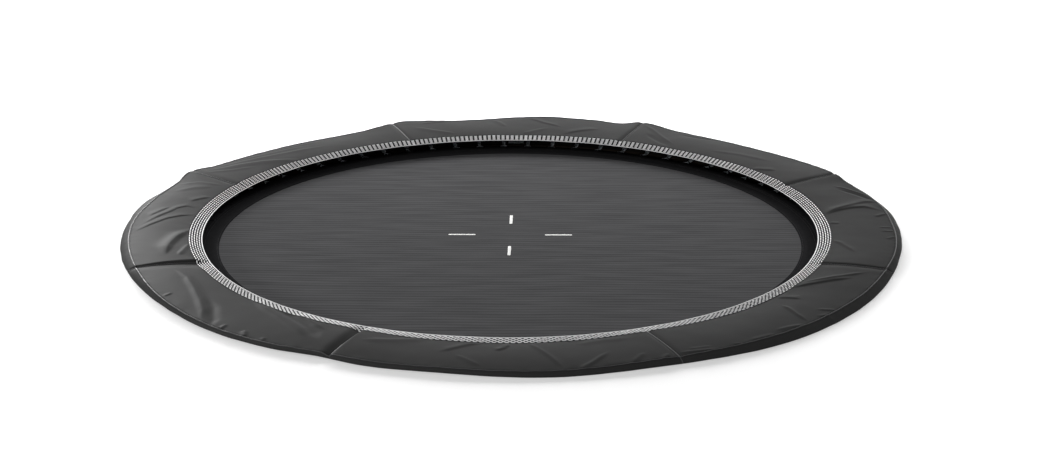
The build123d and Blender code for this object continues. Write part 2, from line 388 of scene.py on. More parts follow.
mat_low, mat_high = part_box("mat_mesh")
mat_radius = mat_high.x
mat_sag = 0.003
tape_pitch = 0.012  # real tapes are 2 mm apart, which would not show, so they are drawn six times as coarse
row_pitch = 0.032   # and so are the faint rows that the loom leaves across the cloth

# Flat black tapes woven close: a matt charcoal cloth, a little streaky along the weave and without shine.
mesh_cloth, tree, shader = finish("woven_polypropylene_mesh", Roughness=0.7, Specular_IOR_Level=0.0)
place = object_place(tree)
pull = add(tree, "ShaderNodeTexNoise", inputs={"Vector": place, "Scale": 1.4, "Detail": 1.0})
drawn = add(tree, "ShaderNodeVectorMath", {"operation": "MULTIPLY_ADD"}, {
    0: pull.outputs["Color"], 1: (0.03, 0.05, 0.0), 2: place})
axes = add(tree, "ShaderNodeSeparateXYZ", inputs={"Vector": drawn.outputs["Vector"]})


def calc(tree, operation, *values):
    """The result of a maths node."""
    return add(tree, "ShaderNodeMath", {"operation": operation}, dict(enumerate(values))).outputs[0]


def waves(axis, pitch):
    """A sine along an axis of the drawn cloth, with its pitch in metres."""
    return calc(tree, "SINE", calc(tree, "MULTIPLY", axes.outputs[axis], 2 * math.pi / pitch))


crossing = calc(tree, "MULTIPLY", waves("X", tape_pitch), waves("Y", tape_pitch))
lift = calc(tree, "MULTIPLY", crossing, 0.22)
stretch = add(tree, "ShaderNodeVectorMath", {"operation": "MULTIPLY"}, {
    0: drawn.outputs["Vector"], 1: (3.0, 0.7 / row_pitch, 1.0)})
streaks = clouds(tree, 1.0, 2.0, stretch.outputs["Vector"])
# Painted shade: the weave's height is added to the colour, darker between the tapes and lighter on them.
weave_tone_with_painted_shade = calc(tree, "ADD", calc(tree, "MULTIPLY_ADD", waves("Y", row_pitch), 0.20, streaks), lift)
feed(shader, Base_Color=tones(tree, weave_tone_with_painted_shade, "383839", "4c4c4d"), Normal=relief(tree, lift, 0.4, 0.0006))

mat_steps = 192
spokes = np.linspace(0.0, 1.0, 25)
top_line = [(mat_radius * s, mat_high.z - mat_sag * (1 - s * s)) for s in spokes]
under_line = [(mat_radius * s, mat_low.z - mat_sag * (1 - s * s)) for s in spokes[::-1]]
mat = lathe("jumping_mat", top_line + under_line, mat_steps, mesh_cloth)
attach(mat, "mat")
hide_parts("mat_mesh")


# ----------------
# Hem band. The edge of the mesh is turned over and doubled with black polyester webbing, 143 mm wide,
# and held with three rows of lockstitch in black thread.


def ribbed(tree, pitch, depth):
    """The normal of a fine woven grain at a pitch in metres."""
    return relief(tree, clouds(tree, 1 / pitch, 1.0), 0.6, depth)


# Ribbed webbing of fine dull yarn: nearly black, and darker than the mat that it edges. The darkness is
# partly painted shade, standing in for the shade of the pads over the mat's edge and its loops.
webbing, tree, shader = finish("black_polyester_webbing_and_painted_shade", Roughness=0.8, Specular_IOR_Level=0.0)
feed(shader, Base_Color=noisy(tree, 0.02, "181819", "202021"), Normal=ribbed(tree, 0.002, 0.0004))

band_low, band_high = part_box("mat_hem_band")
band_inner = radii("mat_hem_band").min()
band_width = mat_radius - band_inner
edge_round = 0.001
band_line = [(band_inner, band_low.z), (band_inner, band_high.z - edge_round),
             (band_inner + edge_round, band_high.z)]
band_line += [(band_inner + band_width * s, band_high.z) for s in (0.25, 0.5, 0.75)]
band_line += [(mat_radius - edge_round, band_high.z), (mat_radius, band_high.z - edge_round),
              (mat_radius, band_low.z)]
hem_band = lathe("mat_hem_band_webbing", band_line, mat_steps, webbing)
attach(hem_band, "mat")
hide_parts("mat_hem_band")

# Stitches: a short thread at even steps along each path.
stitch_tree, given, path = path_tree("stitches_along_path", Pitch="Float", Length="Float", Thickness="Float")
holes = add(stitch_tree, "GeometryNodeCurveToPoints", {"mode": "LENGTH"}, {
    "Curve": path, "Length": given["Pitch"]})
heading = add(stitch_tree, "FunctionNodeAlignRotationToVector", {"axis": "Z"}, {
    "Vector": holes.outputs["Tangent"]})
half_thread = calc(stitch_tree, "MULTIPLY", given["Thickness"], 0.5)
thread = add(stitch_tree, "GeometryNodeMeshCylinder", {"fill_type": "TRIANGLE_FAN"}, {
    "Vertices": 5, "Radius": half_thread, "Depth": given["Length"]})
sewn = add(stitch_tree, "GeometryNodeInstanceOnPoints", inputs={
    "Points": holes.outputs["Points"], "Instance": thread.outputs["Mesh"],
    "Rotation": heading.outputs["Rotation"]})
end_tree(stitch_tree, given, sewn.outputs["Instances"])

# Twisted thread sealed with resin: short black dashes that stand a little above the cloth.
black_thread, tree, shader = finish("black_bonded_polyester_thread", Roughness=0.6, Specular_IOR_Level=0.05)
feed(shader, Base_Color=noisy(tree, 0.004, "1b1b1c", "2c2c2d"))
thread_size = {"Pitch": 0.010, "Length": 0.007, "Thickness": 0.0012, "Material": black_thread}

hem_rows = (0.008, 0.07, 0.085)
stitch_rise = 0.0002


def ring_path(radius, height, steps=360):
    """Points of a level circle round the centre line."""
    angles = np.linspace(0, 2 * math.pi, steps + 1)
    return [(radius * math.cos(a), radius * math.sin(a), height) for a in angles]


rows = [ring_path(band_inner + inset, band_high.z + stitch_rise) for inset in hem_rows]
hem_stitches = grow("mat_hem_stitches", stitch_tree, paths_mesh("mat_hem_rows", rows), thread_size)
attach(hem_stitches, "mat")


# ----------------
# Webbing loops. Seventy-two short lengths of black webbing, each folded round a wire ring and sewn to both
# faces of the mat's edge.

loop_low, loop_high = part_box("mat_webbing_loops")
loop_thickness = 0.0014
loop_width = 0.026
loop_tail = 0.055
loop_bend = radii("mat_webbing_loops").max() - (loop_high.z - loop_low.z) / 2
bend_radius = (loop_high.z - loop_low.z - loop_thickness) / 2

fold_line = [(mat_radius - loop_tail, bend_radius), (mat_radius - loop_tail / 2, bend_radius),
             (loop_bend, bend_radius)]
for i in range(1, bend_steps):
    turn = math.pi * i / bend_steps
    fold_line.append((loop_bend + bend_radius * math.sin(turn), bend_radius * math.cos(turn)))
fold_line += [(x, -z) for x, z in fold_line[2::-1]]


def strap_rings(line, width, thickness, height):
    """Rings of four points round a flat strap that follows a line of (radius, rise) points above a height."""
    line = np.array(line)
    tangent = np.gradient(line, axis=0)
    tangent /= np.linalg.norm(tangent, axis=1)[:, None]
    offset = np.stack([-tangent[:, 1], tangent[:, 0]], axis=1) * thickness / 2
    rings = np.zeros((len(line), 4, 3))
    for j, (side, face) in enumerate(((-1, 1), (1, 1), (1, -1), (-1, -1))):
        rings[:, j, 0] = line[:, 0] + face * offset[:, 0]
        rings[:, j, 1] = side * width / 2
        rings[:, j, 2] = height + line[:, 1] + face * offset[:, 1]
    return rings


def copies_round(name, piece, angles):
    """One object with a copy of a piece at each angle in degrees. The piece itself goes."""
    shape = bmesh.new()
    for angle in angles:
        copy = piece.data.copy()
        copy.transform(Matrix.Rotation(math.radians(angle), 4, "Z"))
        shape.from_mesh(copy)
        bpy.data.meshes.remove(copy)
    mesh = piece.data.copy()
    shape.to_mesh(mesh)
    shape.free()
    bpy.data.objects.remove(piece)
    return put(name, mesh)


# The loops take the same near-black webbing, whose darkness is partly painted shade.
one_loop = skin("loop_pattern", strap_rings(fold_line, loop_width, loop_thickness, mat_height),
                material=webbing, smooth=False)
loops = copies_round("mat_webbing_loops_sewn", one_loop, spring_angles)
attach(loops, "mat")
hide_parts("mat_webbing_loops")


# ----------------
# Centre marks. Four tapes of white woven polyester, a quarter turn apart, which point at the middle of the
# mat. They are sewn flat on the mesh.

mark_low, mark_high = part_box("mat_centre_marks")
mark_inner = 0.173
mark_length = mark_high.x - mark_inner
mark_width = 0.015
mark_rise = mark_high.z - mark_low.z

# Soft matt yarn: a plain white that shows only its fine ribs.
white_tape, tree, shader = finish("white_woven_polyester_tape", Roughness=0.75, Specular_IOR_Level=0.2)
feed(shader, Base_Color=noisy(tree, 0.004, "c4c4c2", "dededc"), Normal=ribbed(tree, 0.0015, 0.0003))

stations = [0.0, 0.004, 0.02, 0.5, 0.98, 0.996, 1.0]
widths = [0.72, 0.94, 1.0, 1.0, 1.0, 0.94, 0.72]
rings = np.zeros((len(stations), 6, 3))
for i, (share, wide) in enumerate(zip(stations, widths)):
    half = mark_width / 2 * wide
    across = [(-half, 0.0), (-half, 0.6), (-half * 0.9, 1.0), (half * 0.9, 1.0), (half, 0.6), (half, 0.0)]
    for j, (side, rise) in enumerate(across):
        rings[i, j] = (mark_inner + mark_length * share, side, mark_low.z + mark_rise * rise)
rings[:, :, 2] -= mat_sag * (1 - (rings[:, :, 0] / mat_radius) ** 2)
one_mark = skin("mark_pattern", rings, material=white_tape)
marks = copies_round("mat_centre_marks_tape", one_mark, [0, 90, 180, 270])
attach(marks, "mat")
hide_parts("mat_centre_marks")


# ----------------
# Pad panels. Eight covers of PVC-coated polyester, each sewn round a sheet of closed-cell foam, with a skirt
# to the ground. The vinyl is slack, so it lies in soft folds and puckers at its seams, and it dips into them.

cover_low, cover_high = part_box("pad_cover_right")
ground = cover_low.z
inner_radius = radii("pad_cover_right").min()
hem_radius = radii("pad_cover_right").max()
skirt_splay = 0.012
skirt_thickness = 0.0015
top_radius = hem_radius - skirt_splay
panel_width = top_radius - inner_radius
inner_rise = 0.018
outer_rise = 0.022
crown_bow = 4 * (cover_high.z - ground - (inner_rise + outer_rise) / 2)
foam_undercut = 0.016

# The seams, anticlockwise from the one between the right and the back right panels. Each has its angle, its
# dip, and the dip's width before and after it, all first at the mat and then at the hem.
SEAMS = [
    {"ends": (23.2, 24.6), "dips": (0.007, 0.005), "before": (0.012, 0.010), "after": (0.026, 0.020)},
    {"ends": (67.4, 67.4), "dips": (0.005, 0.005), "before": (0.010, 0.010), "after": (0.020, 0.016)},
    {"ends": (112.5, 112.5), "dips": (0.004, 0.004), "before": (0.016, 0.012), "after": (0.020, 0.016)},
    {"ends": (158.0, 155.3), "dips": (0.005, 0.004), "before": (0.024, 0.020), "after": (0.022, 0.016)},
    {"ends": (202.8, 202.2), "dips": (0.015, 0.006), "before": (0.008, 0.007), "after": (0.090, 0.030)},
    {"ends": (247.6, 247.9), "dips": (0.014, 0.012), "before": (0.030, 0.026), "after": (0.007, 0.007)},
    {"ends": (292.5, 292.6), "dips": (0.005, 0.004), "before": (0.014, 0.012), "after": (0.016, 0.014)},
    {"ends": (337.7, 338.8), "dips": (0.007, 0.006), "before": (0.040, 0.030), "after": (0.010, 0.008)},
]

# How the outer edge lies at its corners and hollows. Each row has an angle anticlockwise from the right, and
# how many mm the top seam stands out and up from its plain circle, and the hem out from its own.
EDGE = [
    (0, 5, 2, 30), (8, 15, 4, 42), (20, 5, 4, 12), (24, 12, 12, 15), (33, 18, 0, 15), (47, -8, 0, -5),
    (60, 18, 1, 10), (67.5, 65, 14, 46), (71, 20, 8, 15), (76, 45, 8, 32), (80, 40, 12, 30), (85, 58, 11, 42),
    (100, 15, 2, 8), (110, 55, 10, 38), (113, 20, 12, 18), (120, -10, -6, -3), (135, -30, -5, -17),
    (150, -15, -1, -8), (156, 24, 10, 26), (161, -5, 0, 8), (170, -15, 0, 28), (180, -15, 0, 14),
    (202, -27, 0, 0), (217, -5, 0, -2), (230, 10, -2, 9), (240, 2, -1, -4), (246, -15, 0, -25),
    (253, -3, -1, -3), (262, 0, -1, -5), (276, 16, -4, 30), (290, 0, 0, 14), (308, 5, 0, 44),
    (325, -5, 0, 28), (338, -12, 0, 12), (346, -3, 2, 11),
]

# How many mm the inner edge rises or sags at such angles.
INNER = [(0, 0), (22.5, 3), (45, 0), (67.5, 3), (90, 0), (112.5, 2), (135, 0), (157.5, 2), (180, 0),
         (202.5, 4), (225, 0), (247.5, 2), (257, -5), (270, -8), (283, -6), (292.5, 2), (304, -4), (315, -5),
         (337.5, 2)]

# The folds of each panel: the points that a ridge runs through (degrees from the panel's middle, percent of
# the way from mat to hem), its height in mm, and how many mm it reaches to its left and to its right.
FOLDS = {
    "left": [
        ([(6.4, 93), (3, 67), (0, 46), (-1.6, 26), (-2.8, 2)], 3, 30, 7),
        ([(3.6, 86), (-0.4, 66), (-3.4, 50), (-5.6, 42), (-7, 30), (-6.2, 10)], 3, 30, 7),
        ([(-1, 80), (-3.6, 68), (-6, 56)], 2.6, 30, 7),
        ([(-9.6, 34), (-11.4, 22), (-13.4, 8)], 3.2, 40, 10),
        ([(18.6, 44), (14.2, 33), (10.6, 20), (5.2, -4)], 10, 42, 14),
        ([(19.6, 24), (17.4, 13), (13.2, -4)], 3.5, 12, 16),
        ([(-14, 85), (-17, 55), (-18.5, 25)], 2, 30, 26),
        ([(-18, 95), (-19.8, 60), (-20, 15)], 1.8, 12, 20),
    ],
    "back_left": [
        ([(18.8, 86), (13.3, 64), (9, 44), (5.4, 18), (2.6, 0)], 4.6, 14, 46),
        ([(17, 95), (9, 72), (2, 56), (-6.6, 44)], 2.4, 9, 30), ([(13, 98), (4, 80), (-4, 70)], 1.8, 8, 24),
        ([(20.5, 78), (16.5, 52), (12, 30)], 2, 9, 20), ([(8, 99), (0, 88), (-8, 82)], 1.5, 8, 20),
    ],
    "back": [
        ([(19.5, 62), (16, 38), (12, 16)], 3, 9, 30), ([(18, 78), (14.5, 90), (12, 98)], 2.4, 26, 9),
        ([(4.5, 96), (3, 70), (1.8, 45)], 2.4, 10, 20), ([(-2, 94), (-5.3, 65), (-9, 45)], 3, 22, 9),
        ([(-1.2, 10), (-3.4, 22), (-6.4, 40)], 2.6, 9, 24),
        ([(-9.6, 10), (-13, 34), (-16.2, 52)], 3.4, 30, 9),
    ],
    "back_right": [
        ([(22, 92), (19, 72), (15.8, 48), (11.7, 20)], 3.4, 12, 12),
        ([(19.6, 50), (16.2, 30), (12, 10)], -4, 20, 14), ([(14, 82), (10.3, 85), (6.6, 93)], -3, 12, 12),
        ([(-9.6, 2), (-11.8, 14), (-13.6, 28)], 3.4, 30, 8), ([(4, 30), (-2, 46), (-9, 55)], 2, 26, 16),
    ],
    "right": [
        ([(4.8, 0), (6.9, 25), (8.2, 50), (9.8, 80), (9.6, 104)], 4.4, 34, 11),
        ([(4.5, 2), (6.2, 25), (7.1, 50), (7.2, 72), (5, 98)], 4.4, 40, 9),
        ([(19.2, 66), (16.8, 80), (14.7, 89), (12.4, 97)], 4.4, 12, 10),
        ([(17.6, 64), (14.6, 80), (12.2, 90), (10.4, 98)], -4, 10, 14), ([(-0.2, 0), (-1, 17)], 3, 20, 7),
        ([(-9.8, 0), (-11.6, 14), (-13.6, 26), (-16, 42)], 3.4, 16, 8), ([(2.2, 78), (3.9, 100)], 3, 16, 7),
        ([(-3, 76), (-2.8, 100)], 2.2, 12, 6), ([(-4.7, 78), (-4.6, 102)], 2.4, 10, 6),
        ([(-8.5, 85), (-7, 99)], 2.4, 10, 10),
    ],
    "front_right": [
        ([(12, 2), (15.2, 30), (18.1, 52), (21.3, 80)], 3.4, 12, 9),
        ([(9.2, 0), (11.5, 13), (15.1, 40), (17.8, 66)], 4.8, 40, 9),
        ([(3.8, 4), (4.8, 20), (5.2, 38)], 3.4, 30, 8),
        ([(1.2, 30), (0.6, 48), (-0.4, 70), (-1.2, 97)], 3.6, 13, 8), ([(3, 78), (4.8, 100)], 2.8, 12, 7),
        ([(1.2, 92), (2.7, 101)], 2.4, 10, 8), ([(-6.9, 88), (-4.2, 92), (-2, 100)], 3, 10, 16),
        ([(-12, 94), (-7.5, 97)], 2, 12, 12), ([(-22.2, 90), (-19, 94), (-16.4, 100)], 3, 10, 14),
        ([(-20.6, 84), (-17, 88)], 2.2, 10, 12), ([(-14.4, 93), (-13, 101)], 2.2, 8, 10),
    ],
    "front": [
        ([(-8.6, 50), (-6.9, 32), (-5, 14), (-3, 4)], 3.6, 26, 12),
        ([(-1, 36), (0.2, 24), (1.1, 4)], 4.2, 22, 9),
        ([(3.8, 2), (5.1, 28), (6.6, 62), (7.7, 96)], 2.8, 12, 11),
        ([(9.3, 102), (11.5, 84), (14.6, 55)], 3.2, 12, 14), ([(16.3, 98), (18.8, 74)], 2.2, 12, 16),
        ([(21.6, 88), (20.2, 102)], 2.6, 10, 12), ([(-6.3, 56), (-4.4, 72), (-2.4, 90)], 2, 12, 16),
        ([(-20.5, 40), (-15.5, 20), (-11, -2)], 3, 16, 30), ([(10.5, 18), (15, 12), (19, 20)], 2.4, 26, 26),
    ],
    "front_left": [
        ([(-18.6, 43), (-14.3, 37), (-9.3, 46), (-4.8, 60), (-1.2, 76), (2, 100)], 5.4, 30, 16),
        ([(-5.6, 46), (-1, 60), (2.3, 82), (4, 100)], -4, 22, 22),
        ([(0.6, 0), (5.3, 12), (10.4, 27), (14.5, 43), (17.4, 62)], 5, 34, 20),
        ([(5.6, 0), (10, 9), (14.3, 23), (17.3, 42), (19.2, 62)], -4.4, 20, 20),
        ([(10.2, -2), (13.3, 6), (18.5, 28)], 4, 20, 12), ([(-9.2, 95), (-9.6, 80)], 2.6, 10, 10),
        ([(5.8, 100), (5.4, 84)], 2.8, 12, 9), ([(10.2, 100), (8.8, 84)], 2.8, 14, 10),
        ([(13, 100), (12.6, 88)], 2, 12, 9),
    ],
}


# Random waves in the slack vinyl: how far they lift it, their lengths round and outwards, and their seed.
SLACK_WAVES = [(0.0016, 0.26, 1.2, 3.0), (0.0006, 0.08, 0.5, 11.0)]
pucker_waves = (0.045, 2.0, 23.0)
hem_pucker, hem_pucker_reach = 0.0016, 0.022
mat_pucker, mat_pucker_reach = 0.0008, 0.020
hem_wave = 0.002
lowest_rise = 0.004


def ease(share):
    """A smooth step from 0 to 1."""
    share = np.clip(share, 0.0, 1.0)
    return share * share * (3 - 2 * share)


def between(table, turn, column):
    """A column of a table, at angles in degrees, on a smooth curve through its rows that closes on itself."""
    at = np.array([row[0] for row in table], dtype=float)
    value = np.array([row[column] for row in table], dtype=float)
    turn = np.mod(turn, 360.0)
    after = np.searchsorted(at, turn, side="right") % len(at)
    here = (after - 1) % len(at)
    span = np.mod(at[after] - at[here], 360.0)
    share = np.mod(turn - at[here], 360.0) / span
    slope = (np.roll(value, -1) - np.roll(value, 1)) / np.mod(np.roll(at, -1) - np.roll(at, 1), 360.0)
    rise = value[here] * (1 + 2 * share) * (1 - share) ** 2 + value[after] * share ** 2 * (3 - 2 * share)
    return rise + span * share * (1 - share) * (slope[here] * (1 - share) - slope[after] * share)


def fold_rise(across, along, points, height, left, right):
    """The rise at each spot from one fold, which tapers at both ends and falls off to its two sides."""
    near = np.full(across.shape, 1e9)
    share = np.zeros(across.shape)
    side = np.zeros(across.shape)
    for i in range(len(points) - 1):
        start, step = points[i], points[i + 1] - points[i]
        reach = ((across - start[0]) * step[0] + (along - start[1]) * step[1]) / (step @ step)
        held = np.clip(reach, 0.0, 1.0)
        dx, dy = across - start[0] - held * step[0], along - start[1] - held * step[1]
        distance = np.hypot(dx, dy)
        closer = distance < near
        near = np.where(closer, distance, near)
        share = np.where(closer, (i + held) / (len(points) - 1), share)
        turned = (step[0] * dy - step[1] * dx) / (np.hypot(*step) * np.maximum(distance, 1e-9))
        side = np.where(closer, turned, side)
    width = left + (right - left) * ease(0.5 + side)
    taper = ease(share / 0.3 + 0.1) * ease((1 - share) / 0.3 + 0.1)
    return height * taper * np.exp(-((near / (width * (0.45 + 0.55 * taper))) ** 2))


def slack(radius, angle, across, along, seed):
    """Smooth random waves between -1 and 1, with their lengths round the ring and outwards in metres."""
    values = [noise.noise(Vector((r * math.cos(a) / across, r * math.sin(a) / across, seed + r / along)))
              for r, a in zip(radius.ravel(), np.radians(angle).ravel())]
    return np.array(values).reshape(radius.shape)


def mix(ends, share):
    """The value at a share of the way from one end to the other."""
    return ends[0] + share * (ends[1] - ends[0])


def panel_spots(index, spread, share):
    """Degrees, radius and height on a panel, for spread -1 to 1 between seams and share from mat to hem."""
    before, after = SEAMS[index - 1], SEAMS[index]
    start = mix(before["ends"], share) - (360.0 if index == 0 else 0.0)
    end = mix(after["ends"], share)
    turn = start + (end - start) * (spread + 1) / 2
    seam_out = between(EDGE, turn, 1) / 1000
    seam_up = between(EDGE, turn, 2) / 1000
    radius = inner_radius + share * (panel_width + seam_out)
    height = mix((inner_rise, outer_rise), share) + crown_bow * share * (1 - share)
    height += between(INNER, turn, 1) / 1000 * (1 - share) ** 1.5 + seam_up * share ** 1.5
    plain = inner_radius + share * panel_width
    across = np.radians(turn - 45.0 * index) * plain
    along = share * panel_width
    for points, *sizes in FOLDS[DIRECTIONS[index]]:
        spots = [(math.radians(degrees), percent / 100 * panel_width) for degrees, percent in points]
        spots = np.array([(angle * (inner_radius + out), out) for angle, out in spots])
        height += fold_rise(across, along, spots, *(size / 1000 for size in sizes))
    for lift, *lengths in SLACK_WAVES:
        height += lift * slack(plain, turn, *lengths)
    puckers = slack(plain, turn, *pucker_waves)
    height += hem_pucker * puckers * np.exp(-(1 - share) * panel_width / hem_pucker_reach)
    height += mat_pucker * puckers * np.exp(-share * panel_width / mat_pucker_reach)
    for seam, side, gap in ((before, "after", turn - start), (after, "before", end - turn)):
        reach = np.radians(gap) * plain / mix(seam[side], share)
        height -= mix(seam["dips"], share) * np.exp(-(reach ** 2))
    return turn, radius, ground + np.maximum(height, lowest_rise)


def hem_line(turn):
    """Radius of the hem at angles in degrees, with the slight wave of its loose edge."""
    radius = hem_radius + between(EDGE, turn, 3) / 1000
    return radius + hem_wave * slack(radius, turn, 0.10, 2.0, 31.0)


def at_turn(turn, radius, height):
    """Points from degrees round the centre line, radius and height."""
    turn = np.radians(turn)
    return np.stack([radius * np.cos(turn), radius * np.sin(turn), height + 0 * turn], axis=-1)


# Cloth with a smooth coat: an even dark grey whose low sheen shows every fold.
vinyl, tree, shader = finish("pvc_coated_polyester", Roughness=0.5, Specular_IOR_Level=0.015)
grain = add(tree, "ShaderNodeBump", inputs={
    "Height": clouds(tree, 350.0, 3.0), "Strength": 0.2, "Distance": 0.0002,
    "Normal": relief(tree, clouds(tree, 30.0, 4.0), 0.2, 0.001)})
feed(shader, Base_Color=noisy(tree, 0.35, "2c2c2c", "343434"), Normal=grain.outputs["Normal"])

panel_columns = 301
seam_gap = 0.0004
skirt_bulge = 0.0035
ground_gap = 0.0006
spreads = np.linspace(-1 + seam_gap, 1 - seam_gap, panel_columns)[:, None]
shares = np.linspace(0.0, 1.0, 62)[None, :]
drops = np.array([0.06, 0.16, 0.3, 0.5, 0.7, 0.88, 1.0])[None, :]
backs = np.array([1.0, 0.94, 0.75, 0.5, 0.25, 0.0])[None, :]
for index, direction in enumerate(DIRECTIONS):
    turn, radius, height = panel_spots(index, spreads + 0 * shares, shares + 0 * spreads)
    top = at_turn(turn, radius, height)

    edge_turn, edge_radius, edge_height = turn[:, -1:], radius[:, -1:], height[:, -1:]
    reach = hem_line(edge_turn) - edge_radius
    outside = edge_radius + reach * drops + skirt_bulge * np.sin(math.pi * drops)
    fall = edge_height + drops * (ground + ground_gap - edge_height)
    skirt = at_turn(edge_turn + 0 * drops, outside, fall)
    lining = at_turn(edge_turn + 0 * drops, outside[:, ::-1] - skirt_thickness, fall[:, ::-1])

    base_turn = turn[:, :1] + backs * (edge_turn - turn[:, :1])
    base_radius = inner_radius + backs * (edge_radius - foam_undercut - inner_radius)
    base = at_turn(base_turn, base_radius, ground + ground_gap)
    nose = at_turn(turn[:, :1], radius[:, :1], (height[:, :1] + ground) / 2)
    rings = np.concatenate([top, skirt, lining, base, nose], axis=1)
    panel = skin(f"pad_panel_{direction}", rings, material=vinyl)
    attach(panel, "frame")
    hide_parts(f"pad_cover_{direction}", f"pad_foam_{direction}")


# ----------------
# Trim bands. A sloping band of charcoal polyester webbing is sewn to each panel's inner edge. Its free rim
# hangs over the springs and hides them.

trim_thickness = 0.004
rim_radius = radii("pad_trim_right").min()
rim_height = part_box("pad_trim_right")[0].z + trim_thickness
trim_wave = 0.0012

# Dull dark yarn: the black ground that the light cords stand out from.
trim_webbing, tree, shader = finish("charcoal_polyester_webbing", Roughness=0.7, Specular_IOR_Level=0.01)
feed(shader, Base_Color=noisy(tree, 0.01, "101012", "1a1a1c"), Normal=ribbed(tree, 0.002, 0.0004))


def trim_spots(index, spread, share, rise=0.0):
    """Points on a trim band, for spread -1 to 1 between its ends and share from its rim to the panel."""
    turn, seam_radius, seam_height = panel_spots(index, spread, np.zeros(spread.shape))
    radius = mix((rim_radius, seam_radius), share)
    wave = trim_wave * slack(radius, turn, 0.11, 0.6, 41.0)
    return at_turn(turn, radius, mix((rim_height, seam_height), share) + wave + rise)


trim_shares = np.linspace(0.0, 1.0, 9)
trim_spreads = np.linspace(-1 + seam_gap, 1 - seam_gap, 121)
for index, direction in enumerate(DIRECTIONS):
    spread, share = np.meshgrid(trim_spreads, trim_shares, indexing="ij")
    face = trim_spots(index, spread, share)
    rings = np.concatenate([face, face[:, ::-1] - np.array([0, 0, trim_thickness])], axis=1)
    band = skin(f"pad_trim_band_{direction}", rings, material=trim_webbing)
    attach(band, "frame")
    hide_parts(f"pad_trim_{direction}")


# ----------------
# Trim cords. Six light braided polyester cords are sewn side by side along each trim band, the inmost of them
# round its rim.

cord_count = 6
cord_pitch = 0.0118
cord_width = 0.0050
rim_cord_width = 0.0052
cord_height = 0.0022
first_cord = 0.00575
cord_rise = 0.0006
trim_width = math.hypot(inner_radius - rim_radius, inner_rise + ground - rim_height)

tracer_pitch = 0.027  # the dark tracer of a real braid comes round every 8 mm, too fine to show
tracer_step = 1       # each cord has this many more turns of tracer than the next one in, so the marks drift

# White yarns with one dark tracer yarn laid round: broken white strokes all along the band.
light_cord, tree, shader = finish("light_braided_polyester_cord", Roughness=0.6, Specular_IOR_Level=0.03)
place = object_place(tree)
axes = add(tree, "ShaderNodeSeparateXYZ", inputs={"Vector": place})
around = calc(tree, "ARCTAN2", axes.outputs["Y"], axes.outputs["X"])
outwards = add(tree, "ShaderNodeVectorMath", {"operation": "LENGTH"}, {0: place})
cords_out = add(tree, "ShaderNodeMapRange", {"clamp": False}, {
    "Value": outwards.outputs["Value"], "From Min": rim_radius, "From Max": rim_radius + cord_pitch})
drift = calc(tree, "MULTIPLY", calc(tree, "SUBTRACT", around, math.pi / 2), cords_out.outputs["Result"])
turns = calc(tree, "MULTIPLY", around, round(2 * math.pi * inner_radius / tracer_pitch))
twist = calc(tree, "SINE", calc(tree, "MULTIPLY_ADD", drift, tracer_step, turns))
tracer = add(tree, "ShaderNodeMapRange", {"interpolation_type": "SMOOTHSTEP"}, {
    "Value": twist, "From Min": -0.75, "From Max": 0.1})
feed(shader, Base_Color=tones(tree, tracer.outputs["Result"], "303032", "f6f6f6"))

# A soft edging knitted round the rim: one plain pale line at the inner edge.
rim_cord, tree, shader = finish("light_knitted_polyester_edging", Roughness=0.7, Specular_IOR_Level=0.03)
feed(shader, Base_Color=noisy(tree, 0.004, "d8d8d8", "f2f2f2"))

for name, cords_here, width, yarn in (("rim", range(1), rim_cord_width, rim_cord),
                                      ("rows", range(1, cord_count), cord_width, light_cord)):
    lines = []
    for index in range(8):
        for i in cords_here:
            share = np.full(trim_spreads.shape, (first_cord + i * cord_pitch) / trim_width)
            lines.append(trim_spots(index, trim_spreads, share, cord_rise))
    trim_cord = rods(f"trim_cords_{name}", lines, width, cord_height, 6, yarn)
    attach(trim_cord, "frame")
    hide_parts("trim_stripes")


# ----------------
# Seam welts and hem piping. The panels are sewn edge to edge over a flat welt, and a vinyl-covered cord
# is sewn into the corner between each panel's top and its skirt.

# Coated cloth pulled tight round a cord: a thin line with a brighter gloss than the panels.
piping_vinyl, tree, shader = finish("pvc_covered_piping_cord", Roughness=0.35, Specular_IOR_Level=0.3)
feed(shader, Base_Color=noisy(tree, 0.05, "2b2b2c", "39393a"))

welt_width = 0.005
welt_height = 0.0035
welt_rise = 0.0006
welt_gap = 0.0003
welt_end = 0.002
piping_size = 0.0042
welts = []
for index in range(8):
    share = np.linspace(0.0, 1.0, 40)
    turn, radius, height = panel_spots(index, np.full(share.shape, 1 - seam_gap / 2), share)
    line = list(at_turn(turn, radius, height + welt_rise))
    reach = hem_line(turn[-1:]) - radius[-1:]
    for drop in (0.35, 0.7, 1.0):
        line += list(at_turn(turn[-1:], radius[-1:] + drop * reach + welt_gap,
                             height[-1:] + drop * (ground + welt_end - height[-1:])))
    welts.append(line)
seam_welts = rods("seam_welts", welts, welt_width, welt_height, 8, piping_vinyl)
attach(seam_welts, "frame")
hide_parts("seam_piping")

hems = []
for index in range(8):
    turn, radius, height = panel_spots(index, spreads[:, 0], np.ones(panel_columns))
    hems.append(at_turn(turn, radius + piping_size / 3, height + piping_size / 6))
hem_cord = rods("hem_piping_cord", hems, piping_size, piping_size, 8, piping_vinyl)
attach(hem_cord, "frame")
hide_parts("hem_piping")


# ----------------
# Pad stitches. Black bonded polyester thread, sewn through the vinyl in even steps. The rows run along the
# hem, along the trim band's seam and on both sides of each welt.

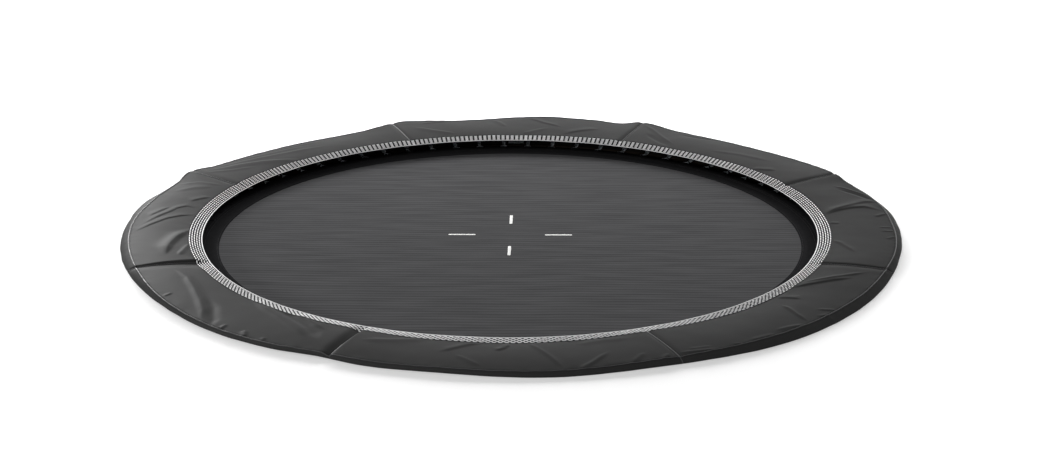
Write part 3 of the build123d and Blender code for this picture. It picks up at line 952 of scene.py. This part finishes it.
stitch_inset = 0.007
pad_stitch_rise = 0.0004
rows = []
for index in range(8):
    for share in (stitch_inset / panel_width, 1 - stitch_inset / panel_width):
        turn, radius, height = panel_spots(index, spreads[:, 0], np.full(panel_columns, share))
        rows.append(at_turn(turn, radius, height + pad_stitch_rise))
    share = np.linspace(0.02, 0.98, 40)
    inset = np.degrees(stitch_inset / (inner_radius + share * panel_width)) / 22.5
    for side in (-1, 1):
        turn, radius, height = panel_spots(index, side * (1 - inset), share)
        rows.append(at_turn(turn, radius, height + pad_stitch_rise))
pad_stitches = grow("pad_stitches", stitch_tree, paths_mesh("pad_rows", rows), thread_size)
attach(pad_stitches, "frame")


# ----------------
# Elastic straps. Sixteen loops of black woven elastic, two sewn under each panel. They go round the tube and
# hold the panel down.

# Covered rubber threads: a matt black band with fine ribs along it.
elastic, tree, shader = finish("black_woven_elastic", Roughness=0.8, Specular_IOR_Level=0.15)
feed(shader, Base_Color=noisy(tree, 0.006, "0d0d0e", "171718"), Normal=ribbed(tree, 0.0015, 0.0005))

strap_width = 0.025
strap_thickness = 0.0012
strap_gap = 0.0003
strap_steps = 16
tube_radius = (tube_high.z - tube_low.z) / 2
strap_bend = tube_radius + strap_gap + strap_thickness / 2
strap_top = ground - ring_height
strap_line = [(ring_radius - strap_bend, strap_top), (ring_radius - strap_bend, strap_top / 2)]
for i in range(strap_steps + 1):
    turn = math.pi * i / strap_steps
    strap_line.append((ring_radius - strap_bend * math.cos(turn), -strap_bend * math.sin(turn)))
strap_line += [(ring_radius + strap_bend, strap_top / 2), (ring_radius + strap_bend, strap_top)]
one_strap = skin("strap_pattern", strap_rings(strap_line, strap_width, strap_thickness, ring_height),
                 material=elastic, smooth=False)
straps = copies_round("pad_straps_elastic", one_strap, [11.25 + 22.5 * i for i in range(16)])
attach(straps, "frame")
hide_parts("pad_straps")


# ----------------
# Ground. A pale plain floor at ground level, with the pit that the trampoline is let into. The pit has bare
# soil and a ledge under the pads.


def staged(name, profile, steps, material):
    """A stage surface turned round the centre line from an open line of (radius, height) points."""
    verts, faces = [], []
    for i in range(steps):
        turn = 2 * math.pi * i / steps
        verts += [(r * math.cos(turn), r * math.sin(turn), z) for r, z in profile]
    size = len(profile)
    for i in range(steps):
        here, after = i * size, (i + 1) % steps * size
        faces += [(here + j, here + j + 1, after + j + 1, after + j) for j in range(size - 1)]
    mesh = bpy.data.meshes.new(name)
    mesh.from_pydata(verts, [], faces)
    mesh.materials.append(material)
    put(name, mesh)


def seen_rays(tree):
    """1 on camera, glossy and transmission rays, and 0 on the rays that only light the object."""
    rays = add(tree, "ShaderNodeLightPath").outputs
    direct = calc(tree, "MAXIMUM", rays["Is Camera Ray"], rays["Is Glossy Ray"])
    return calc(tree, "MAXIMUM", direct, rays["Is Transmission Ray"])


floor_glow = 0.13
# Matt white paint: it takes the shadow of the pads and fades into a white background.
floor_paint, tree, shader = finish("white_studio_floor", Roughness=1.0, Specular_IOR_Level=0.0)
shader.inputs["Base Color"].default_value = to_linear("f4f4f4")
shader.inputs["Emission Color"].default_value = (1, 1, 1, 1)
reach = add(tree, "ShaderNodeVectorMath", {"operation": "LENGTH"}, {0: object_place(tree)})
paleness = add(tree, "ShaderNodeMapRange", inputs={
    "Value": reach.outputs["Value"], "From Min": 2.2, "From Max": 5.5, "To Min": floor_glow, "To Max": 0.9})
feed(shader, Emission_Strength=calc(tree, "MULTIPLY", seen_rays(tree), paleness.outputs["Result"]))

# Damp packed earth: almost black under the springs.
soil, tree, shader = finish("dark_packed_soil", Roughness=0.95, Specular_IOR_Level=0.1)
feed(shader, Base_Color=noisy(tree, 0.03, "1d1916", "2c2621", 5.0))

hole_radius = 1.836
ledge_inner = 1.72
pit_radius = 1.93
pit_depth = 0.5
floor_reach = 80.0
floor_level = ground - 0.0004
staged("studio_floor", [(hole_radius, floor_level), (2.5, floor_level), (8.0, floor_level),
                        (floor_reach, floor_level)], 180, floor_paint)
staged("pit", [(0.01, -pit_depth), (ledge_inner, -pit_depth), (ledge_inner, -0.0005), (pit_radius, -0.0005),
               (pit_radius, floor_level - 0.001)], 96, soil)


# ----------------
# Studio. A wide low soft box behind, two small ones at the back left and the front left, and a plain pale
# world that looks white in the background and in reflections.

world = bpy.data.worlds.new("studio")
bpy.context.scene.world = world
world.use_nodes = True
tree = world.node_tree
background = tree.nodes["Background"]
fill_level = 0.43
background.inputs["Color"].default_value = (1, 1, 1, 1)
feed(background, Strength=span(tree, seen_rays(tree), fill_level, 1.0))


def soft_box(name, place, target, size, power, mirrored=True):
    """An oblong area lamp at a place, turned to a target. One that isn't mirrored gives no reflections."""
    lamp = bpy.data.lights.new(name, "AREA")
    lamp.shape = "RECTANGLE"
    lamp.size, lamp.size_y = size
    lamp.energy = power
    box = put(name, lamp)
    box.visible_glossy = mirrored
    box.location = place
    box.rotation_euler = (Vector(target) - Vector(place)).to_track_quat("-Z", "Y").to_euler()


soft_box("back_light", (0.3, 7.8, 1.7), (0, 0, ground), (7.0, 2.8), 2650.0, mirrored=False)
soft_box("back_left_soft_box", (-4.4, 6.6, 2.4), (0, 0, ground), (2.0, 1.2), 350.0)
soft_box("left_soft_box", (-7.02, -3.27, 1.94), (0, 0, ground), (3.0, 1.2), 300.0)

lens = 62.927
camera_distance = 8.868
camera_azimuth = math.radians(-0.883)
camera_elevation = math.radians(18.773)
look_at = Vector((0.0429, -0.1361, ground))
towards = Vector((math.sin(camera_azimuth) * math.cos(camera_elevation),
                  math.cos(camera_azimuth) * math.cos(camera_elevation), -math.sin(camera_elevation)))
camera_data = bpy.data.cameras.new("camera")
camera_data.sensor_width = 36.0
camera_data.lens = lens
camera = put("camera", camera_data)
camera.location = look_at - camera_distance * towards
camera.rotation_euler = towards.to_track_quat("-Z", "Y").to_euler()
bpy.context.scene.camera = camera
bpy.context.scene.view_settings.view_transform = "Standard"
